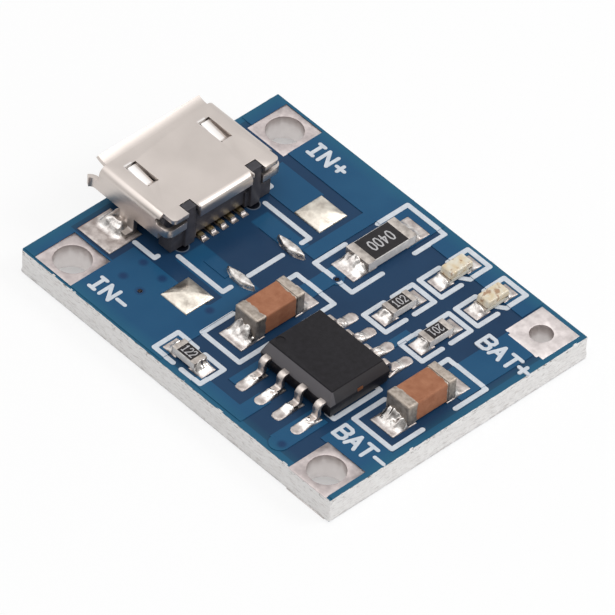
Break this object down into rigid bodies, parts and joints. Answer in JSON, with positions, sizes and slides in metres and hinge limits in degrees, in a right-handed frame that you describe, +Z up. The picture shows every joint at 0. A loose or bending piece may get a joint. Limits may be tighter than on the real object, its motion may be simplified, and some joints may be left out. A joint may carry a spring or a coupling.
{
  "type": "lithium battery charger module",
  "caption": "Small blue circuit board that charges a lithium cell: power socket on one edge, plated holes at the corners, charger chip, capacitors, resistors and status lamps.",
  "frame": {"origin": "centre of the board's underside", "axes": "+X from the power socket to the battery edge, +Y from the minus side to the plus side, +Z up out of the parts side"},
  "size_m": [0.0225, 0.017, 0.0042],
  "materials": {
    "laminate": "woven glass and resin, cut edges",
    "copper": "rolled copper under the mask",
    "mask": "glossy blue solder mask",
    "print": "white ink",
    "tinned_land": "satin tin plating",
    "shell": "satin warm grey plating",
    "insulator": "moulded black plastic",
    "contact": "gold flash",
    "package": "moulded black epoxy, fine grain",
    "lead": "tinned",
    "capacitor_body": "brown fired ceramic",
    "capacitor_end": "matte tin",
    "resistor_body": "white alumina",
    "resistor_glaze": "black glaze",
    "resistor_end": "matte tin",
    "lamp_base": "white board",
    "lamp_lens": "clear, a little yellow",
    "lamp_end": "gold flash",
    "solder": "bright solder"
  },
  "bodies": {
    "root": {"board_laminate": "laminate", "top_copper": "copper", "bottom_copper": "copper", "top_mask": "mask", "bottom_mask": "mask", "silkscreen": "print", "terminal_in_minus": "tinned_land", "terminal_in_plus": "tinned_land", "terminal_bat_minus": "tinned_land", "terminal_bat_plus": "tinned_land", "via_barrels": "tinned_land", "port_shell": "shell", "port_insulator": "insulator", "port_contact_1": "contact", "port_contact_2": "contact", "port_contact_3": "contact", "port_contact_4": "contact", "port_contact_5": "contact", "ic_body": "package", "ic_paddle": "lead", "ic_lead_1": "lead", "ic_lead_2": "lead", "ic_lead_3": "lead", "ic_lead_4": "lead", "ic_lead_5": "lead", "ic_lead_6": "lead", "ic_lead_7": "lead", "ic_lead_8": "lead", "cap_in_body": "capacitor_body", "cap_in_ends": "capacitor_end", "cap_bat_body": "capacitor_body", "cap_bat_ends": "capacitor_end", "input_resistor_body": "resistor_body", "input_resistor_glaze": "resistor_glaze", "input_resistor_ends": "resistor_end", "led_resistor_a_body": "resistor_body", "led_resistor_a_glaze": "resistor_glaze", "led_resistor_a_ends": "resistor_end", "led_resistor_b_body": "resistor_body", "led_resistor_b_glaze": "resistor_glaze", "led_resistor_b_ends": "resistor_end", "program_resistor_body": "resistor_body", "program_resistor_glaze": "resistor_glaze", "program_resistor_ends": "resistor_end", "led_a_base": "lamp_base", "led_a_lens": "lamp_lens", "led_a_terminals": "lamp_end", "led_b_base": "lamp_base", "led_b_lens": "lamp_lens", "led_b_terminals": "lamp_end", "solder_port_legs": "solder", "solder_port_contacts": "solder", "solder_ic": "solder", "solder_capacitors": "solder", "solder_resistors": "solder", "solder_leds": "solder", "solder_spare_lands": "solder", "solder_spare_bars": "solder"}
  },
  "joints": []
}
